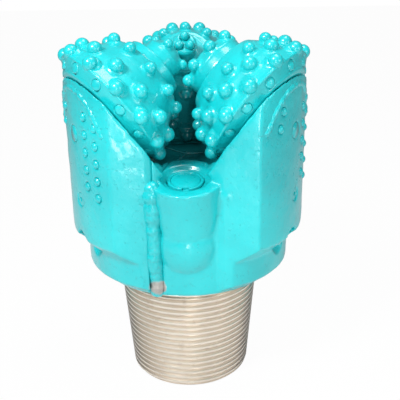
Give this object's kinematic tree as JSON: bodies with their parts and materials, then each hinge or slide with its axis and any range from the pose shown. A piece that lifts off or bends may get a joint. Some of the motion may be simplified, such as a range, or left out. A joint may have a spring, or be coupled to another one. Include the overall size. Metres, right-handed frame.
{
  "type": "tricone drill bit",
  "caption": "Rotary drill bit with rolling cones set with round hard-metal inserts, jet nozzles and a tapered threaded pin.",
  "frame": {"origin": "centre of the make-up shoulder, on the bit's axis", "axes": "+Z along the bit's axis towards the cones; cone 1 lies on +Y, and -Y looks at the nozzle between cones 2 and 3"},
  "size_m": [0.2442, 0.2406, 0.376],
  "materials": {
    "painted_steel": "glossy turquoise enamel over forged steel",
    "bearing_steel": "turned steel",
    "seal_rubber": "black moulded rubber",
    "bearing_bronze": "bearing bronze"
  },
  "bodies": {
    "body": {"ball_plug_welds": "painted_steel", "ball_plugs": "bearing_steel", "fill_plugs": "painted_steel", "grease_diaphragm_1": "seal_rubber", "grease_diaphragm_2": "seal_rubber", "grease_diaphragm_3": "seal_rubber", "head_section_1": "painted_steel", "head_section_2": "painted_steel", "head_section_3": "painted_steel", "jet_nozzle_1": "painted_steel", "jet_nozzle_2": "painted_steel", "jet_nozzle_3": "painted_steel", "nozzle_plugs": "painted_steel", "nozzle_seals": "seal_rubber", "nozzle_snap_rings": "painted_steel", "reservoir_caps": "painted_steel", "reservoir_snap_rings": "painted_steel", "shirttail_buttons_1": "painted_steel", "shirttail_buttons_2": "painted_steel", "shirttail_buttons_3": "painted_steel", "weld_seams": "painted_steel"},
    "cone_1": {"cone_1": "painted_steel", "cone_seal_1": "seal_rubber", "gauge_inserts_1": "painted_steel", "heel_inserts_1": "painted_steel", "middle_inserts_1": "painted_steel", "nose_bush_1": "bearing_bronze", "nose_inserts_1": "painted_steel", "second_row_inserts_1": "painted_steel", "thrust_button_1": "bearing_bronze", "thrust_washer_1": "bearing_bronze"},
    "roller_set_1": {"roller_set_1": "bearing_steel"},
    "ball_set_1": {"ball_set_1": "bearing_steel"},
    "cone_2": {"cone_2": "painted_steel", "cone_seal_2": "seal_rubber", "gauge_inserts_2": "painted_steel", "heel_inserts_2": "painted_steel", "middle_inserts_2": "painted_steel", "nose_bush_2": "bearing_bronze", "nose_inserts_2": "painted_steel", "second_row_inserts_2": "painted_steel", "thrust_button_2": "bearing_bronze", "thrust_washer_2": "bearing_bronze"},
    "roller_set_2": {"roller_set_2": "bearing_steel"},
    "ball_set_2": {"ball_set_2": "bearing_steel"},
    "cone_3": {"cone_3": "painted_steel", "cone_seal_3": "seal_rubber", "gauge_inserts_3": "painted_steel", "heel_inserts_3": "painted_steel", "middle_inserts_3": "painted_steel", "nose_bush_3": "bearing_bronze", "nose_inserts_3": "painted_steel", "second_row_inserts_3": "painted_steel", "thrust_button_3": "bearing_bronze", "thrust_washer_3": "bearing_bronze"},
    "roller_set_3": {"roller_set_3": "bearing_steel"},
    "ball_set_3": {"ball_set_3": "bearing_steel"}
  },
  "joints": [
    {"name": "cone_1_spin", "type": "hinge", "parent": "body", "child": "cone_1", "pos_m": [0, 0, 0.238], "axis": [0, 0.8192, -0.5736], "continuous": true},
    {"name": "roller_set_1_orbit", "type": "hinge", "parent": "body", "child": "roller_set_1", "pos_m": [0, 0, 0.238], "axis": [0, 0.8192, -0.5736], "continuous": true},
    {"name": "ball_set_1_orbit", "type": "hinge", "parent": "body", "child": "ball_set_1", "pos_m": [0, 0, 0.238], "axis": [0, 0.8192, -0.5736], "continuous": true},
    {"name": "cone_2_spin", "type": "hinge", "parent": "body", "child": "cone_2", "pos_m": [0, 0, 0.238], "axis": [-0.7094, -0.4096, -0.5736], "continuous": true},
    {"name": "roller_set_2_orbit", "type": "hinge", "parent": "body", "child": "roller_set_2", "pos_m": [0, 0, 0.238], "axis": [-0.7094, -0.4096, -0.5736], "continuous": true},
    {"name": "ball_set_2_orbit", "type": "hinge", "parent": "body", "child": "ball_set_2", "pos_m": [0, 0, 0.238], "axis": [-0.7094, -0.4096, -0.5736], "continuous": true},
    {"name": "cone_3_spin", "type": "hinge", "parent": "body", "child": "cone_3", "pos_m": [0, 0, 0.238], "axis": [0.7094, -0.4096, -0.5736], "continuous": true},
    {"name": "roller_set_3_orbit", "type": "hinge", "parent": "body", "child": "roller_set_3", "pos_m": [0, 0, 0.238], "axis": [0.7094, -0.4096, -0.5736], "continuous": true},
    {"name": "ball_set_3_orbit", "type": "hinge", "parent": "body", "child": "ball_set_3", "pos_m": [0, 0, 0.238], "axis": [0.7094, -0.4096, -0.5736], "continuous": true}
  ],
  "couplings": [
    {"joint": "roller_set_1_orbit", "follows": "cone_1_spin", "ratio": 0.5689},
    {"joint": "ball_set_1_orbit", "follows": "cone_1_spin", "ratio": 0.6124},
    {"joint": "roller_set_2_orbit", "follows": "cone_2_spin", "ratio": 0.5689},
    {"joint": "ball_set_2_orbit", "follows": "cone_2_spin", "ratio": 0.6124},
    {"joint": "roller_set_3_orbit", "follows": "cone_3_spin", "ratio": 0.5689},
    {"joint": "ball_set_3_orbit", "follows": "cone_3_spin", "ratio": 0.6124}
  ]
}
